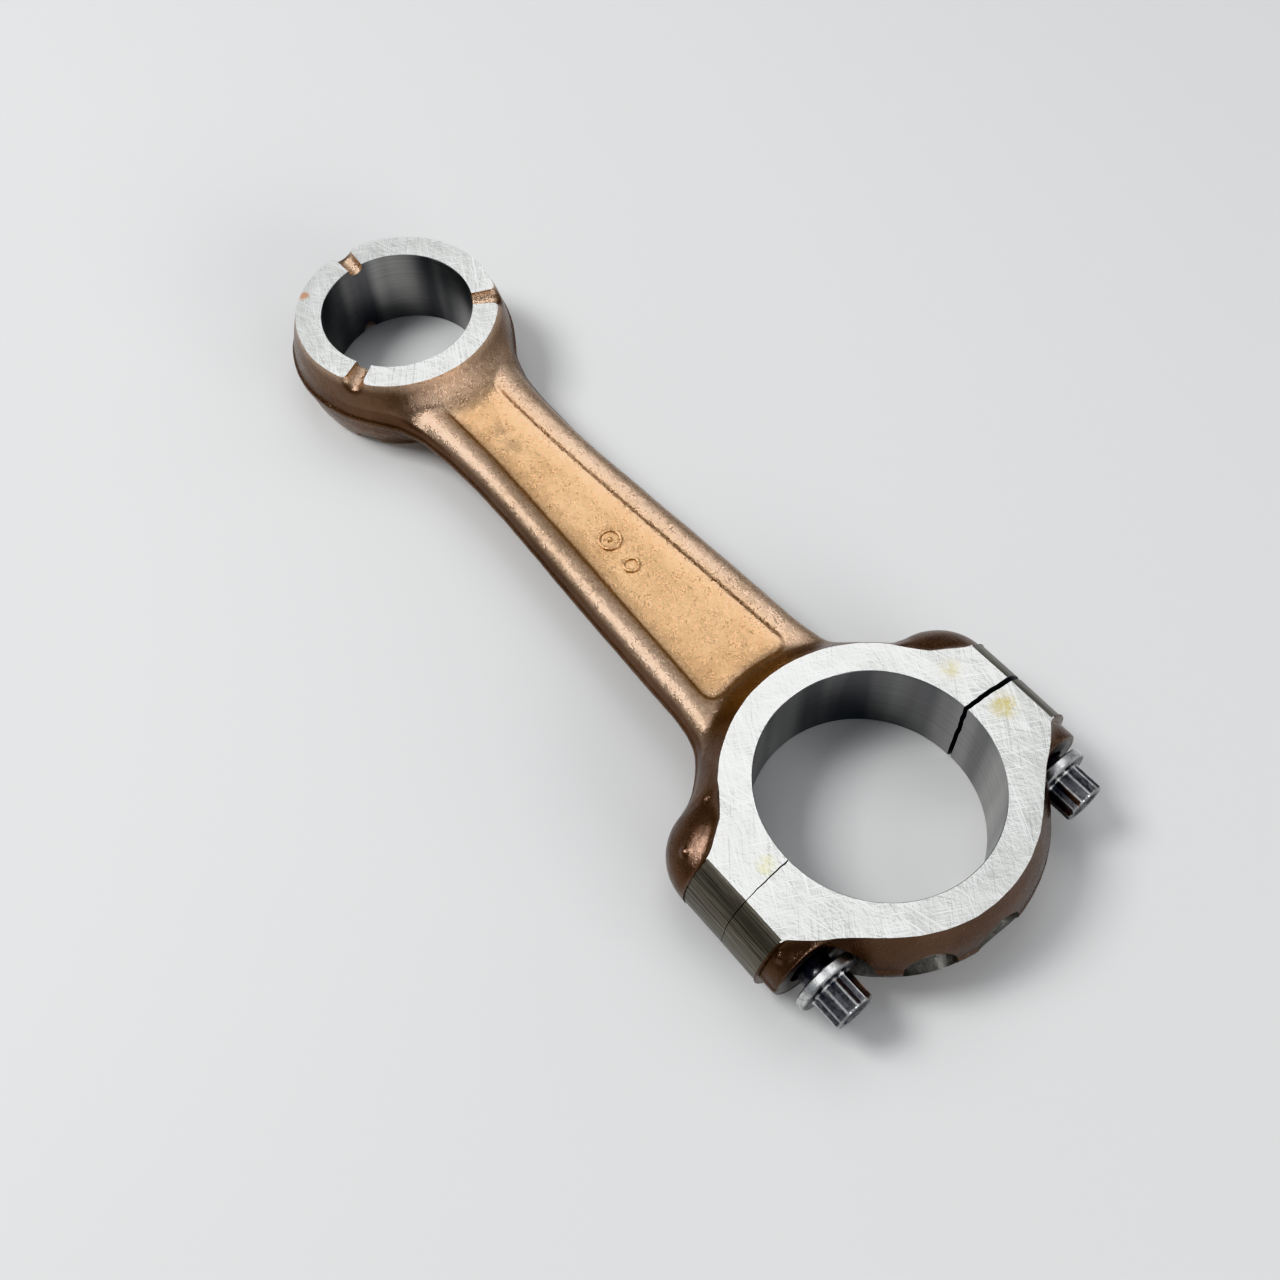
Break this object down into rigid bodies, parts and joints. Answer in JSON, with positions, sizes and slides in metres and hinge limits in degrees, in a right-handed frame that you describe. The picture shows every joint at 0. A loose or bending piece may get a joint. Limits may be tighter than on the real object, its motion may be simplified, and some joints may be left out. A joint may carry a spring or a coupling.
{
  "type": "connecting rod",
  "caption": "Forged connecting rod with a shallow H-section beam, a slotted small-end eye and a fracture-split big-end cap standing open on its twelve-point flange screws.",
  "frame": {"origin": "centre of the big-end bore at mid thickness", "axes": "+Y from the big end to the small end, +Z along both bores, +X across the joint of the cap"},
  "size_m": [0.0787, 0.2119, 0.0198],
  "materials": {
    "copper_plated_forging": "copper-plated forged steel with ground bright faces and bores",
    "copper_plated_cap": "copper-plated forged steel with ground bright faces and bore",
    "black_screw": "blackened alloy steel with bright worn edges"
  },
  "bodies": {
    "rod": {"rod_body": "copper_plated_forging"},
    "cap": {"big_end_cap": "copper_plated_cap"},
    "screw_left": {"cap_screw_left": "black_screw"},
    "screw_right": {"cap_screw_right": "black_screw"}
  },
  "joints": [
    {"name": "cap_lift_off", "type": "slide", "parent": "rod", "child": "cap", "axis": [0, -1, 0], "range_m": [-0.00008, 0.026]},
    {"name": "screw_left_draw", "type": "slide", "parent": "cap", "child": "screw_left", "axis": [0, -1, 0], "range_m": [-0.00293, 0.03]},
    {"name": "screw_right_draw", "type": "slide", "parent": "cap", "child": "screw_right", "axis": [0, -1, 0], "range_m": [-0.00148, 0.03]}
  ]
}
